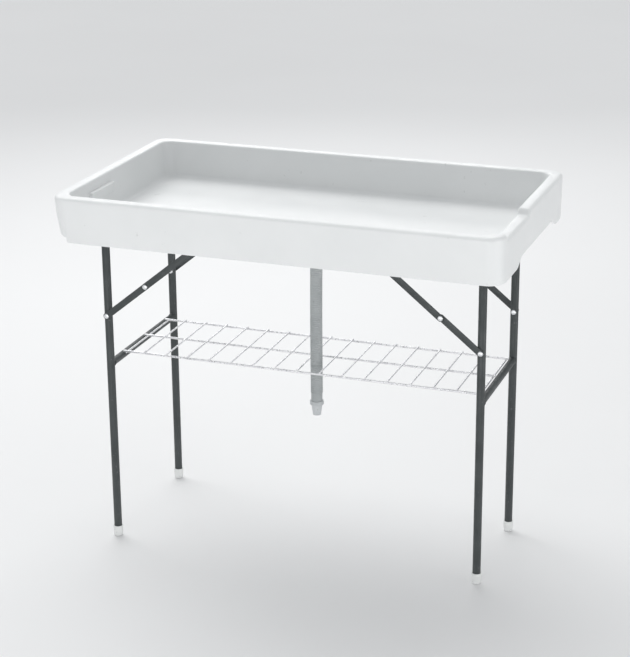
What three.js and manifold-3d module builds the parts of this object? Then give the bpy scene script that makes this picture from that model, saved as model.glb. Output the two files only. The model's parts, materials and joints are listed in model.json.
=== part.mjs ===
// A folding tub table: a moulded plastic tub on two folding leg frames, with brace links,
// a wire shelf that rests on the crossbars, and a drain with a hanging hose.
// Millimetres, +Z up, +X along the tub, +Y from front to back. The origin is on the floor
// under the middle of the tub.
import * as THREE from 'three';
import { mergeVertices } from 'three/addons/utils/BufferGeometryUtils.js';
import Module from 'manifold-3d';

const wasm = await Module();
wasm.setup();

// ---- Driving dimensions -------------------------------------------------------------------
const GAP = 0.3; // between pieces that touch
const RUNNING = 0.4; // between pieces that turn past each other
const PAST = 10; // how far a cutting shape runs past what it cuts

const TUB_LENGTH = 1220;
const TUB_WIDTH = 700;
const RIM_HEIGHT = 1020;
const SKIRT_DEPTH = 123;
const TUB_DEPTH = 102;
const WALL = 4.5;
const FLOOR_THICKNESS = 8;
const RIM_WIDTH = 34;
const RIM_ROUND = 9;
const RIM_CHAMFER = 4;
const OUTER_CORNER = 45;
const INNER_CORNER = 28;
const FLOOR_ROUND = 12;
const SKIRT_LEAN = 0.07; // inward millimetres for each millimetre down; the right end is upright
const WALL_LEAN = 0.12;
const RIGHT_FOOT_ROUND = 6; // lower corners of the skirt, seen from the front
const LEFT_FOOT_ROUND = 38; // above a small step
const LEFT_FOOT_STEP = { rise: 14, round: 7 };
const GRIP = { from: -132, to: 190, ramp: 55, rise: 22 }; // hand hold in each end's lower edge
const DIP = { depth: 15, from: -286, to: -66, ramp: 10 }; // lowered stretch of the right end's rim
const LEDGE = { width: 12, height: 30, below: 28, from: -190, to: -55 }; // inside the left end

const LEG_DIAMETER = 22;
const TUBE_WALL = 1.5;
const LEG_X = 520;
const RIGHT_LEG_Y = 172; // the right frame is the narrower one and folds inside the left one
const NEST_GAP = 1.6; // from the right frame's braces to the left frame's legs
const LEFT_PIVOT_DROP = 21; // below the tub's floor
const FRAME_STEP = 26; // the right frame folds flat this far below the left one
const TUBE_PAST_PIVOT = 11;
const CROSSBAR_DIAMETER = 20;
const CROSSBAR_HEIGHT = 518;

const FOOT_DIAMETER = 27.5;
const FOOT_TIP_DIAMETER = 24.5;
const FOOT_HEIGHT = 30;
const FOOT_SOLE = 4;

const SHEET = 2.5; // bracket steel
const BRACKET_HALF_WIDTH = 12;
const BRACKET_INBOARD = 50;
const BOLT_DIAMETER = 8;
const BOLT_HEAD = { radius: 7, height: 4 };
const SCREW_DIAMETER = 5;
const SCREW_HEAD = { radius: 5, height: 3 };
const SCREW_DEPTH = 5.5; // into the tub's floor
const SCREW_SETBACK = 12; // from the end of a bracket's plate

const RIVET_DROP = 250; // from the tub's underside to the rivet on the leg
const RIVET_DIAMETER = 6;
const RIVET_HEAD = { radius: 7, height: 2.3 };
const LINK_WIDTH = 18;
const LINK_THICKNESS = 3;
const BRACE_SLOPE = 0.81;
const FOLDED_SLACK = 0.002; // keeps the two folded links just off a straight line
const BRACE_PLATE = 26;

const LONG_WIRE = 6;
const CROSS_WIRE = 5;
const WIRE_WELD = 1.2; // how far crossing wires sink into each other
const SHELF_HALF_WIDTH = 140;
const SHELF_PITCH = 64;
const SHELF_CROSS_WIRES = 15;
const WIRE_OVERLAP = 4; // how far a long wire stops short of the crossbar's axis

const DRAIN_Y = -70;
const DRAIN_BORE = 14; // inner radius of the outlet
const DRAIN_PIPE = 18;
const DRAIN_FLANGE = { radius: 29, height: 3 };
const DRAIN_TAIL = 24; // below the tub's floor
const DRAIN_NUT = { radius: 27, height: 9 };
const STRAINER_HOLES = { radius: 2.6, circle: 9, around: 6 };
const HOSE_DIAMETER = 34;
const HOSE_STEPS = 8;
const CLAMP = { width: 10, thickness: 1.6, below: 8 };
const COLLAR = { radius: 19, height: 11 };
const NOZZLE = { top: 15, tip: 11.5, height: 30 };

// How many sides a round piece is built with.
const TUBE_SIDES = 16;
const TURNED_SIDES = 20;
const SMALL_SIDES = 12;
const WIRE_SIDES = 8;
const HOLE_SIDES = 10;

// The hose hangs straight down from the outlet. Each point is [x, y, z].
const HOSE_ROUTE = [
  [32, -70, 885.7], [32, -70, 870], [31.9, -70, 850], [31.6, -70.1, 820], [31.3, -70.3, 790],
  [31, -70.5, 760], [30.8, -70.7, 730], [30.6, -70.9, 700], [30.5, -71, 670], [30.5, -71.1, 640],
  [30.5, -71.1, 610], [30.5, -71.1, 580], [30.6, -71.1, 550], [30.6, -71, 520], [30.7, -71, 490],
  [30.8, -71, 460], [30.8, -71, 440], [30.8, -71, 427.6],
];

// ---- Sizes that follow --------------------------------------------------------------------
const SKIRT_BOTTOM = RIM_HEIGHT - SKIRT_DEPTH;
const FLOOR_TOP = RIM_HEIGHT - TUB_DEPTH;
const WIDEST = RIM_HEIGHT - RIM_ROUND; // the sides lean in below this height
const UNDERSIDE = FLOOR_TOP - FLOOR_THICKNESS;
const LEG_RADIUS = LEG_DIAMETER / 2;
const CROSSBAR_RADIUS = CROSSBAR_DIAMETER / 2;
const DRAIN_X = SHELF_PITCH / 2;
const LOWER_LINK_OUT = LEG_RADIUS + RUNNING; // outward from a leg's axis, as the next four are
const RIVET_HEAD_OUT = LOWER_LINK_OUT + LINK_THICKNESS + GAP;
const UPPER_LINK_OUT = RIVET_HEAD_OUT + RIVET_HEAD.height + RUNNING;
const EAR_OUT = UPPER_LINK_OUT + LINK_THICKNESS + RUNNING;
const BRACE_OUT = EAR_OUT + LINK_THICKNESS + GAP + RIVET_HEAD.height;
const LEFT_LEG_Y = RIGHT_LEG_Y + BRACE_OUT + NEST_GAP + LEG_RADIUS;
const RIVET_HEIGHT = UNDERSIDE - RIVET_DROP;
const PIN_HOLE = RIVET_DIAMETER / 2 + GAP;
const BOLT_HOLE = BOLT_DIAMETER / 2 + GAP;
const SCREW_HOLE = SCREW_DIAMETER / 2 + GAP;

const frames = [
  { name: 'left', side: -1, legY: LEFT_LEG_Y, pivot: UNDERSIDE - LEFT_PIVOT_DROP },
  { name: 'right', side: 1, legY: RIGHT_LEG_Y, pivot: UNDERSIDE - LEFT_PIVOT_DROP - FRAME_STEP },
];
const rows = [
  { name: 'front', side: -1 },
  { name: 'back', side: 1 },
];

// The brace runs straight from the leg's rivet to the tub. Its two links fold back on each
// other along the leg, so their difference is the gap left between the folded rivet and the
// upper pivot, which stands at the height of the leg's own pivot.
for (const frame of frames) {
  const rise = frame.pivot - RIVET_HEIGHT;
  const run = rise / BRACE_SLOPE;
  const total = Math.hypot(run, rise);
  const folded = (run - rise) * (1 - FOLDED_SLACK);
  // The plate on the tub reaches outward on the wide frame and inward on the narrow one.
  const ear = frame.legY + EAR_OUT;
  frame.plate = frame.side < 0 ? [ear, ear + BRACE_PLATE]
    : [ear + LINK_THICKNESS - BRACE_PLATE, ear + LINK_THICKNESS];
  frame.screwY = frame.side < 0 ? frame.plate[1] - SCREW_SETBACK : frame.plate[0] + SCREW_SETBACK;
  frame.lower = (total - folded) / 2;
  frame.upper = (total + folded) / 2;
  frame.braceX = LEG_X - run;
  frame.middleX = LEG_X - (run * frame.lower) / total;
  frame.middleZ = RIVET_HEIGHT + (rise * frame.lower) / total;
}

// ---- Materials ----------------------------------------------------------------------------
const material = (color, roughness, metalness) =>
  new THREE.MeshStandardMaterial({ color, roughness, metalness });
const finishes = {
  tub: () => material(0xe6e7e7, 0.45, 0),
  darkSteel: () => material(0x54585a, 0.5, 0.3),
  zinc: () => material(0xd8dadb, 0.3, 0.9),
  wire: () => material(0xb9bbbd, 0.3, 0.9),
  footPlastic: () => material(0xd7d8d6, 0.5, 0),
  drainPlastic: () => material(0xc4c7c8, 0.45, 0),
  hose: () => material(0xa5a9aa, 0.55, 0),
};

// ---- Building blocks ----------------------------------------------------------------------
function solid(geometry) {
  const bare = geometry.index ? geometry.toNonIndexed() : geometry.clone();
  bare.deleteAttribute('normal');
  bare.deleteAttribute('uv');
  const merged = mergeVertices(bare, 1e-4);
  return new wasm.Manifold(new wasm.Mesh({
    numProp: 3,
    vertProperties: new Float32Array(merged.attributes.position.array),
    triVerts: new Uint32Array(merged.index.array),
  }));
}

function geometryOf(body) {
  const mesh = body.getMesh();
  const geometry = new THREE.BufferGeometry();
  geometry.setAttribute('position', new THREE.BufferAttribute(mesh.vertProperties, 3));
  geometry.setIndex(new THREE.BufferAttribute(mesh.triVerts, 1));
  return geometry;
}

const at = (geometry, x, y, z) => geometry.translate(x, y, z);

function box(x0, x1, y0, y1, z0, z1) {
  const size = [Math.abs(x1 - x0), Math.abs(y1 - y0), Math.abs(z1 - z0)];
  return solid(at(new THREE.BoxGeometry(...size), (x0 + x1) / 2, (y0 + y1) / 2, (z0 + z1) / 2));
}

// A round bar along Z between two heights.
function barZ(radius, x, y, z0, z1, sides = HOLE_SIDES) {
  const bar = new THREE.CylinderGeometry(radius, radius, z1 - z0, sides).rotateX(Math.PI / 2);
  return solid(at(bar, x, y, (z0 + z1) / 2));
}

// A round bar along Y between two depths.
function barY(radius, x, z, y0, y1, sides = HOLE_SIDES) {
  const bar = new THREE.CylinderGeometry(radius, radius, Math.abs(y1 - y0), sides);
  return solid(at(bar, x, (y0 + y1) / 2, z));
}

function ring(outer, inner) {
  const shape = new THREE.Shape().absarc(0, 0, outer, 0, 2 * Math.PI);
  shape.holes.push(new THREE.Path().absarc(0, 0, inner, 0, 2 * Math.PI, true));
  return shape;
}

function roundedRectangle(halfX, halfY, radius) {
  const shape = new THREE.Shape();
  shape.absarc(halfX - radius, halfY - radius, radius, 0, Math.PI / 2);
  shape.absarc(radius - halfX, halfY - radius, radius, Math.PI / 2, Math.PI);
  shape.absarc(radius - halfX, radius - halfY, radius, Math.PI, Math.PI * 1.5);
  shape.absarc(halfX - radius, radius - halfY, radius, Math.PI * 1.5, Math.PI * 2);
  shape.closePath();
  return shape;
}

// An upright block with rounded edges at both ends whose sides lean in towards the bottom. The
// right end may lean by another amount.
function leaningBlock(halfX, halfY, corner, z0, z1, edge, lean, leanFrom, rightLean = lean) {
  const block = new THREE.ExtrudeGeometry(roundedRectangle(halfX, halfY, corner), {
    depth: z1 - z0 - 2 * edge,
    bevelEnabled: true,
    bevelSize: edge,
    bevelThickness: edge,
    bevelOffset: -edge,
    bevelSegments: 2,
    curveSegments: 4,
  });
  block.translate(0, 0, z0 + edge);
  const point = block.attributes.position;
  for (let i = 0; i < point.count; i += 1) {
    const below = leanFrom - point.getZ(i);
    const x = point.getX(i);
    const y = point.getY(i);
    point.setX(i, x - (x > 0 ? rightLean : -lean) * below);
    point.setY(i, y - Math.sign(y) * lean * below);
  }
  return solid(block);
}

// A flat outline in Y and Z, drawn out along X.
function plateX(outline, x0, x1) {
  const shape = new THREE.Shape(outline.map(([y, z]) => new THREE.Vector2(y, z)));
  const plate = new THREE.ExtrudeGeometry(shape, { depth: x1 - x0, bevelEnabled: false });
  plate.applyMatrix4(new THREE.Matrix4().makeBasis(
    new THREE.Vector3(0, 1, 0), new THREE.Vector3(0, 0, 1), new THREE.Vector3(1, 0, 0)));
  return solid(plate.translate(x0, 0, 0));
}

// A turned piece from [radius, z] points, standing on the Z axis.
function turned(profile, sides = TURNED_SIDES) {
  const points = profile.map(([r, z]) => new THREE.Vector2(r, z));
  return new THREE.LatheGeometry(points, sides).rotateX(Math.PI / 2);
}

// The same along Y, reaching outwards on the given side from [radius, depth] points.
function turnedY(profile, side, x, z, sides = SMALL_SIDES) {
  const piece = new THREE.LatheGeometry(profile.map(([r, y]) => new THREE.Vector2(r, y)), sides);
  if (side < 0) piece.rotateX(Math.PI);
  return at(piece, x, 0, z);
}

const table = new THREE.Group();

function add(name, geometry, finish) {
  const mesh = new THREE.Mesh(geometry, finish());
  mesh.name = name;
  table.add(mesh);
}

// ---- Tub ----------------------------------------------------------------------------------
function rimDip(margin) {
  const low = RIM_HEIGHT - DIP.depth - margin;
  const high = RIM_HEIGHT + 10;
  const spread = DIP.ramp * (DIP.depth + 10) / DIP.depth;
  const from = DIP.from - margin;
  const to = DIP.to + margin;
  const outline = [[from, low], [to, low], [to + spread, high], [from - spread, high]];
  return plateX(outline, TUB_LENGTH / 2 - RIM_WIDTH - 20, TUB_LENGTH / 2 + 10);
}

function tubHollow(margin) {
  const halfX = TUB_LENGTH / 2 - RIM_WIDTH + margin;
  const halfY = TUB_WIDTH / 2 - RIM_WIDTH + margin;
  const floor = FLOOR_TOP - (margin > 0 ? FLOOR_THICKNESS : 0);
  return leaningBlock(halfX, halfY, INNER_CORNER + margin, floor, RIM_HEIGHT + 40,
    FLOOR_ROUND, WALL_LEAN, RIM_HEIGHT);
}

// The space inside the rim and skirt, open underneath.
function skirtHollow() {
  const depth = SKIRT_BOTTOM - 30;
  return leaningBlock(TUB_LENGTH / 2 - WALL, TUB_WIDTH / 2 - WALL, OUTER_CORNER - WALL, depth,
    RIM_HEIGHT - WALL, RIM_ROUND - WALL / 2, SKIRT_LEAN, WIDEST, 0)
    .subtract(tubHollow(WALL))
    .subtract(rimDip(WALL));
}

// Takes off what lies outside a round of this radius that ends at outer and stands on foot.
function roundedOff(side, outer, foot, radius) {
  const middle = side * (outer - radius);
  return box(middle, side * (outer + radius + PAST), -TUB_WIDTH, TUB_WIDTH, SKIRT_BOTTOM - PAST,
    foot + radius).subtract(barY(radius, middle, foot + radius, -TUB_WIDTH, TUB_WIDTH, TUBE_SIDES));
}

// The skirt's lower corners as seen from the front: nearly square at the right end, and a wide
// round above a small step at the left end.
function skirtEndTrims() {
  const { rise, round } = LEFT_FOOT_STEP;
  const roundTop = SKIRT_BOTTOM + rise + LEFT_FOOT_ROUND;
  const leftEnd = TUB_LENGTH / 2 - SKIRT_LEAN * (WIDEST - roundTop);
  return [
    roundedOff(1, TUB_LENGTH / 2, SKIRT_BOTTOM, RIGHT_FOOT_ROUND),
    roundedOff(-1, leftEnd, SKIRT_BOTTOM + rise, LEFT_FOOT_ROUND),
    roundedOff(-1, leftEnd - LEFT_FOOT_ROUND, SKIRT_BOTTOM, round),
  ];
}

function gripCut(side) {
  const { from, to, ramp, rise } = GRIP;
  const top = SKIRT_BOTTOM + rise;
  const outline = [[from - ramp, SKIRT_BOTTOM - 1], [to + ramp, SKIRT_BOTTOM - 1],
    [to, top], [from, top]];
  const inner = TUB_LENGTH / 2 - SKIRT_LEAN * SKIRT_DEPTH - 3 * WALL;
  const outer = TUB_LENGTH / 2 + 10;
  return plateX(outline, side > 0 ? inner : -outer, side > 0 ? outer : -inner);
}

// A moulded ledge on the inside of the left end: flat on top, running out below.
function innerLedge() {
  const top = RIM_HEIGHT - LEDGE.below;
  const inset = RIM_WIDTH + WALL_LEAN * LEDGE.below;
  const wall = -TUB_LENGTH / 2 + inset;
  const shape = new THREE.Shape();
  shape.moveTo(wall - 2, top);
  shape.lineTo(wall + LEDGE.width, top);
  shape.lineTo(wall + LEDGE.width, top - 4);
  shape.lineTo(wall + WALL_LEAN * LEDGE.height, top - LEDGE.height);
  shape.lineTo(wall - 2, top - LEDGE.height);
  shape.closePath();
  const length = LEDGE.to - LEDGE.from;
  const ledge = new THREE.ExtrudeGeometry(shape, { depth: length, bevelEnabled: false });
  return solid(ledge.rotateX(Math.PI / 2).translate(0, LEDGE.to, 0));
}

const legPlaces = frames.flatMap((frame) => rows.map((row) => ({
  frame,
  row,
  tag: `${row.name}_${frame.name}`,
  x: frame.side * LEG_X,
  y: row.side * frame.legY,
})));
const legScrewX = LEG_X - BRACKET_INBOARD + SCREW_SETBACK;

function buildTub() {
  let tub = leaningBlock(TUB_LENGTH / 2, TUB_WIDTH / 2, OUTER_CORNER, SKIRT_BOTTOM - 2 * RIM_ROUND,
    RIM_HEIGHT, RIM_ROUND, SKIRT_LEAN, WIDEST, 0);
  tub = tub.subtract(box(-TUB_LENGTH, TUB_LENGTH, -TUB_WIDTH, TUB_WIDTH,
    SKIRT_BOTTOM - 2 * RIM_ROUND - PAST, SKIRT_BOTTOM));
  tub = tub.subtract(tubHollow(0)).subtract(skirtHollow()).subtract(rimDip(0));
  const flareOut = RIM_CHAMFER + PAST - RIM_WIDTH;
  const flare = leaningBlock(TUB_LENGTH / 2 + flareOut, TUB_WIDTH / 2 + flareOut,
    INNER_CORNER + RIM_CHAMFER + PAST, RIM_HEIGHT - RIM_CHAMFER, RIM_HEIGHT + 3 * PAST, 0.01, 1,
    RIM_HEIGHT + PAST);
  tub = tub.subtract(flare).add(innerLedge());
  for (const trim of [...skirtEndTrims(), gripCut(-1), gripCut(1)]) tub = tub.subtract(trim);
  tub = tub.subtract(barZ(DRAIN_PIPE + GAP, DRAIN_X, DRAIN_Y, UNDERSIDE - PAST,
    FLOOR_TOP + PAST, TURNED_SIDES));
  for (const { frame, row, y } of legPlaces) {
    const top = UNDERSIDE + SCREW_DEPTH + GAP;
    tub = tub.subtract(barZ(SCREW_HOLE, frame.side * legScrewX, y, UNDERSIDE - PAST, top));
    tub = tub.subtract(barZ(SCREW_HOLE, frame.side * frame.braceX, row.side * frame.screwY,
      UNDERSIDE - PAST, top));
  }
  add('tub_shell', geometryOf(tub), finishes.tub);
}

// ---- Drain --------------------------------------------------------------------------------
function buildDrain() {
  const seat = FLOOR_TOP + GAP;
  const tail = UNDERSIDE - DRAIN_TAIL;
  const lip = 2;
  const flange = turned([
    [DRAIN_BORE, tail], [DRAIN_PIPE, tail], [DRAIN_PIPE, seat], [DRAIN_FLANGE.radius, seat],
    [DRAIN_FLANGE.radius, seat + 1], [DRAIN_FLANGE.radius - 4, seat + DRAIN_FLANGE.height],
    [DRAIN_BORE + lip, seat + DRAIN_FLANGE.height], [DRAIN_BORE + lip, seat], [DRAIN_BORE, seat],
    [DRAIN_BORE, tail],
  ]);
  add('drain_flange', at(flange, DRAIN_X, DRAIN_Y, 0), finishes.drainPlastic);

  const top = seat + GAP;
  let strainer = barZ(DRAIN_BORE + lip - GAP, DRAIN_X, DRAIN_Y, top, top + lip, TURNED_SIDES);
  const { radius, circle, around } = STRAINER_HOLES;
  for (let i = 0; i <= around; i += 1) {
    const out = i < around ? circle : 0;
    const angle = (i * 2 * Math.PI) / around;
    strainer = strainer.subtract(barZ(radius, DRAIN_X + out * Math.cos(angle),
      DRAIN_Y + out * Math.sin(angle), top - lip, top + 2 * lip, WIRE_SIDES));
  }
  add('drain_strainer', geometryOf(strainer), finishes.zinc);

  const nutTop = UNDERSIDE - GAP;
  const nut = barZ(DRAIN_NUT.radius, DRAIN_X, DRAIN_Y, nutTop - DRAIN_NUT.height, nutTop, 6)
    .subtract(barZ(DRAIN_PIPE + GAP, DRAIN_X, DRAIN_Y, nutTop - DRAIN_NUT.height - PAST,
      nutTop + PAST, TURNED_SIDES));
  add('drain_nut', geometryOf(nut), finishes.drainPlastic);
}

function buildHose() {
  const route = new THREE.CatmullRomCurve3(HOSE_ROUTE.map((p) => new THREE.Vector3(...p)));
  const section = new THREE.Shape().absarc(0, 0, HOSE_DIAMETER / 2, 0, 2 * Math.PI);
  const hose = new THREE.ExtrudeGeometry(section, {
    extrudePath: route, steps: HOSE_STEPS, curveSegments: SMALL_SIDES, bevelEnabled: false,
  });
  add('drain_hose', geometryOf(solid(hose)), finishes.hose);

  const [topX, topY, topZ] = HOSE_ROUTE[0];
  const bore = HOSE_DIAMETER / 2 + 2 * GAP;
  const high = topZ - CLAMP.below;
  const band = turned([
    [bore, high - CLAMP.width], [bore + CLAMP.thickness, high - CLAMP.width],
    [bore + CLAMP.thickness, high], [bore, high], [bore, high - CLAMP.width],
  ]);
  const lug = box(topX - 4, topX + 4, topY - bore - 8, topY - bore - CLAMP.thickness / 2,
    high - CLAMP.width + 1, high - 1);
  add('hose_clamp', geometryOf(solid(at(band, topX, topY, 0)).add(lug)), finishes.zinc);

  const [endX, endY, endZ] = HOSE_ROUTE[HOSE_ROUTE.length - 1];
  const collarTop = endZ - GAP;
  const collarLow = collarTop - COLLAR.height;
  const collar = turned([
    [0, collarLow], [COLLAR.radius - 1, collarLow], [COLLAR.radius, collarLow + 1],
    [COLLAR.radius, collarTop - 1], [COLLAR.radius - 1, collarTop], [0, collarTop],
  ]);
  add('hose_collar', at(collar, endX, endY, 0), finishes.drainPlastic);

  const nozzleTop = collarLow - GAP;
  const nozzleTip = nozzleTop - NOZZLE.height;
  const nozzle = turned([
    [NOZZLE.tip - 4, nozzleTip], [NOZZLE.tip, nozzleTip], [NOZZLE.top, nozzleTop],
    [0, nozzleTop], [0, nozzleTop - 4], [NOZZLE.tip - 4, nozzleTop - 8],
    [NOZZLE.tip - 4, nozzleTip],
  ]);
  add('hose_nozzle', at(nozzle, endX, endY, 0), finishes.drainPlastic);
}

// ---- Leg frames ---------------------------------------------------------------------------
function buildLeg({ frame, tag, x, y }) {
  const low = FOOT_SOLE + GAP;
  const high = frame.pivot + TUBE_PAST_PIVOT;
  const tube = new THREE.ExtrudeGeometry(ring(LEG_RADIUS, LEG_RADIUS - TUBE_WALL), {
    depth: high - low, bevelEnabled: false, curveSegments: TUBE_SIDES,
  });
  const reach = LEG_DIAMETER;
  const leg = solid(at(tube, x, y, low))
    .subtract(barY(BOLT_HOLE, x, frame.pivot, y - reach, y + reach))
    .subtract(barY(PIN_HOLE, x, RIVET_HEIGHT, y - reach, y + reach));
  add(`leg_${tag}`, geometryOf(leg), finishes.darkSteel);

  const bore = LEG_RADIUS + GAP;
  const tip = FOOT_TIP_DIAMETER / 2;
  const wide = FOOT_DIAMETER / 2;
  const foot = turned([
    [0, 0], [tip - 1.5, 0], [tip, 1.5], [wide, FOOT_HEIGHT - 3], [wide - 1, FOOT_HEIGHT],
    [bore, FOOT_HEIGHT], [bore, FOOT_SOLE], [0, FOOT_SOLE],
  ]);
  add(`foot_${tag}`, at(foot, x, y, 0), finishes.footPlastic);
}

function buildCrossbar(frame) {
  const x = frame.side * LEG_X;
  const length = 2 * frame.legY;
  const tube = new THREE.ExtrudeGeometry(ring(CROSSBAR_RADIUS, CROSSBAR_RADIUS - TUBE_WALL), {
    depth: length, bevelEnabled: false, curveSegments: TUBE_SIDES,
  }).rotateX(Math.PI / 2);
  let bar = solid(at(tube, x, length / 2, CROSSBAR_HEIGHT));
  for (const row of rows) {
    bar = bar.subtract(barZ(LEG_RADIUS + GAP, x, row.side * frame.legY,
      CROSSBAR_HEIGHT - CROSSBAR_RADIUS - PAST, CROSSBAR_HEIGHT + CROSSBAR_RADIUS + PAST,
      TUBE_SIDES));
  }
  add(`crossbar_${frame.name}`, geometryOf(bar), finishes.darkSteel);
}

// ---- Leg brackets and their fasteners -----------------------------------------------------
function buildLegBracket({ frame, tag, x, y }) {
  const top = UNDERSIDE - GAP;
  const under = top - SHEET;
  const inner = LEG_RADIUS + RUNNING;
  const outer = inner + SHEET;
  const inboard = frame.side * (LEG_X - BRACKET_INBOARD);
  let bracket = box(inboard, x + frame.side * BRACKET_HALF_WIDTH, y - outer, y + outer, under, top);
  for (const side of [-1, 1]) {
    const near = y + side * inner;
    const far = y + side * outer;
    bracket = bracket
      .add(box(x - BRACKET_HALF_WIDTH, x + BRACKET_HALF_WIDTH, near, far, frame.pivot, under + 1))
      .add(barY(BRACKET_HALF_WIDTH, x, frame.pivot, near, far, TUBE_SIDES));
  }
  bracket = bracket
    .subtract(barY(BOLT_HOLE, x, frame.pivot, y - 2 * outer, y + 2 * outer))
    .subtract(barZ(SCREW_HOLE, frame.side * legScrewX, y, under - PAST, top + PAST));
  add(`leg_bracket_${tag}`, geometryOf(bracket), finishes.darkSteel);

  const reach = outer + GAP;
  const bolt = barY(BOLT_DIAMETER / 2, x, frame.pivot, y - reach - 1, y + reach + 1)
    .add(barY(BOLT_HEAD.radius, x, frame.pivot, y + reach, y + reach + BOLT_HEAD.height, 6))
    .add(barY(BOLT_HEAD.radius, x, frame.pivot, y - reach - BOLT_HEAD.height, y - reach, 6));
  add(`pivot_bolt_${tag}`, geometryOf(bolt), finishes.zinc);
  buildScrew(`leg_screw_${tag}`, frame.side * legScrewX, y, under);
}

function buildScrew(name, x, y, seat) {
  const top = UNDERSIDE + SCREW_DEPTH;
  const radius = SCREW_DIAMETER / 2;
  const head = seat - GAP;
  const screw = turned([
    [0, head - SCREW_HEAD.height], [SCREW_HEAD.radius - 1.5, head - SCREW_HEAD.height],
    [SCREW_HEAD.radius, head - 1], [SCREW_HEAD.radius, head], [radius, head],
    [radius, top - 2], [0.6, top], [0, top],
  ], SMALL_SIDES);
  add(name, at(screw, x, y, 0), finishes.zinc);
}

// ---- Braces -------------------------------------------------------------------------------
function link(x0, z0, x1, z1, near, side) {
  const length = Math.hypot(x1 - x0, z1 - z0);
  const half = LINK_WIDTH / 2;
  const shape = new THREE.Shape();
  shape.absarc(0, 0, half, Math.PI / 2, Math.PI * 1.5);
  shape.absarc(length, 0, half, -Math.PI / 2, Math.PI / 2);
  shape.closePath();
  for (const along of [0, length]) {
    shape.holes.push(new THREE.Path().absarc(along, 0, PIN_HOLE, 0, 2 * Math.PI, true));
  }
  const bar = new THREE.ExtrudeGeometry(shape, {
    depth: LINK_THICKNESS, bevelEnabled: false, curveSegments: WIRE_SIDES,
  });
  bar.rotateZ(Math.atan2(z1 - z0, x1 - x0)).rotateX(Math.PI / 2);
  return at(bar, x0, side > 0 ? near + LINK_THICKNESS : -near, z0);
}

function rivet(side, x, z, inside, outside) {
  const shank = RIVET_DIAMETER / 2;
  const { radius, height } = RIVET_HEAD;
  return turnedY([
    [0, inside - height], [radius * 0.6, inside - height], [radius, inside - 0.6],
    [radius, inside], [shank, inside], [shank, outside], [radius, outside],
    [radius, outside + 0.6], [radius * 0.6, outside + height], [0, outside + height],
  ], side, x, z);
}

function buildBrace({ frame, row, tag }) {
  const { side } = row;
  const { legY } = frame;
  const legX = frame.side * LEG_X;
  const middleX = frame.side * frame.middleX;
  const topX = frame.side * frame.braceX;
  const lower = link(legX, RIVET_HEIGHT, middleX, frame.middleZ,
    legY + LOWER_LINK_OUT, side);
  add(`lower_link_${tag}`, lower, finishes.darkSteel);
  const upper = link(topX, frame.pivot, middleX, frame.middleZ,
    legY + UPPER_LINK_OUT, side);
  add(`upper_link_${tag}`, upper, finishes.darkSteel);

  const legRivet = rivet(side, legX, RIVET_HEIGHT, legY - LEG_RADIUS - GAP,
    legY + RIVET_HEAD_OUT);
  add(`leg_rivet_${tag}`, legRivet, finishes.zinc);

  const shank = RIVET_DIAMETER / 2;
  const start = legY + RIVET_HEAD_OUT;
  const shoulder = legY + UPPER_LINK_OUT - GAP;
  const headFrom = legY + UPPER_LINK_OUT + LINK_THICKNESS + GAP;
  const { radius, height } = RIVET_HEAD;
  const middle = turnedY([
    [0, start], [shank + 2, start], [shank + 2, shoulder], [shank, shoulder],
    [shank, headFrom], [radius, headFrom], [radius, headFrom + 0.6],
    [radius * 0.6, headFrom + height], [0, headFrom + height],
  ], side, middleX, frame.middleZ);
  add(`middle_rivet_${tag}`, middle, finishes.zinc);

  const pin = rivet(side, topX, frame.pivot, shoulder, legY + EAR_OUT + LINK_THICKNESS + GAP);
  add(`brace_rivet_${tag}`, pin, finishes.zinc);
  buildBraceBracket(frame, row, tag, topX);
}

function buildBraceBracket(frame, row, tag, x) {
  const top = UNDERSIDE - GAP;
  const under = top - LINK_THICKNESS;
  const ear = frame.legY + EAR_OUT;
  const near = row.side * ear;
  const far = row.side * (ear + LINK_THICKNESS);
  const [inner, outer] = frame.plate;
  const half = LINK_WIDTH / 2;
  const bracket = box(x - half, x + half, near, far, frame.pivot, top)
    .add(barY(half, x, frame.pivot, near, far, TUBE_SIDES))
    .add(box(x - half, x + half, row.side * inner, row.side * outer, under, top))
    .subtract(barY(PIN_HOLE, x, frame.pivot, near - LINK_WIDTH, near + LINK_WIDTH))
    .subtract(barZ(SCREW_HOLE, x, row.side * frame.screwY, under - SHEET, top + SHEET));
  add(`brace_bracket_${tag}`, geometryOf(bracket), finishes.darkSteel);
  buildScrew(`brace_screw_${tag}`, x, row.side * frame.screwY, under);
}

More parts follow.
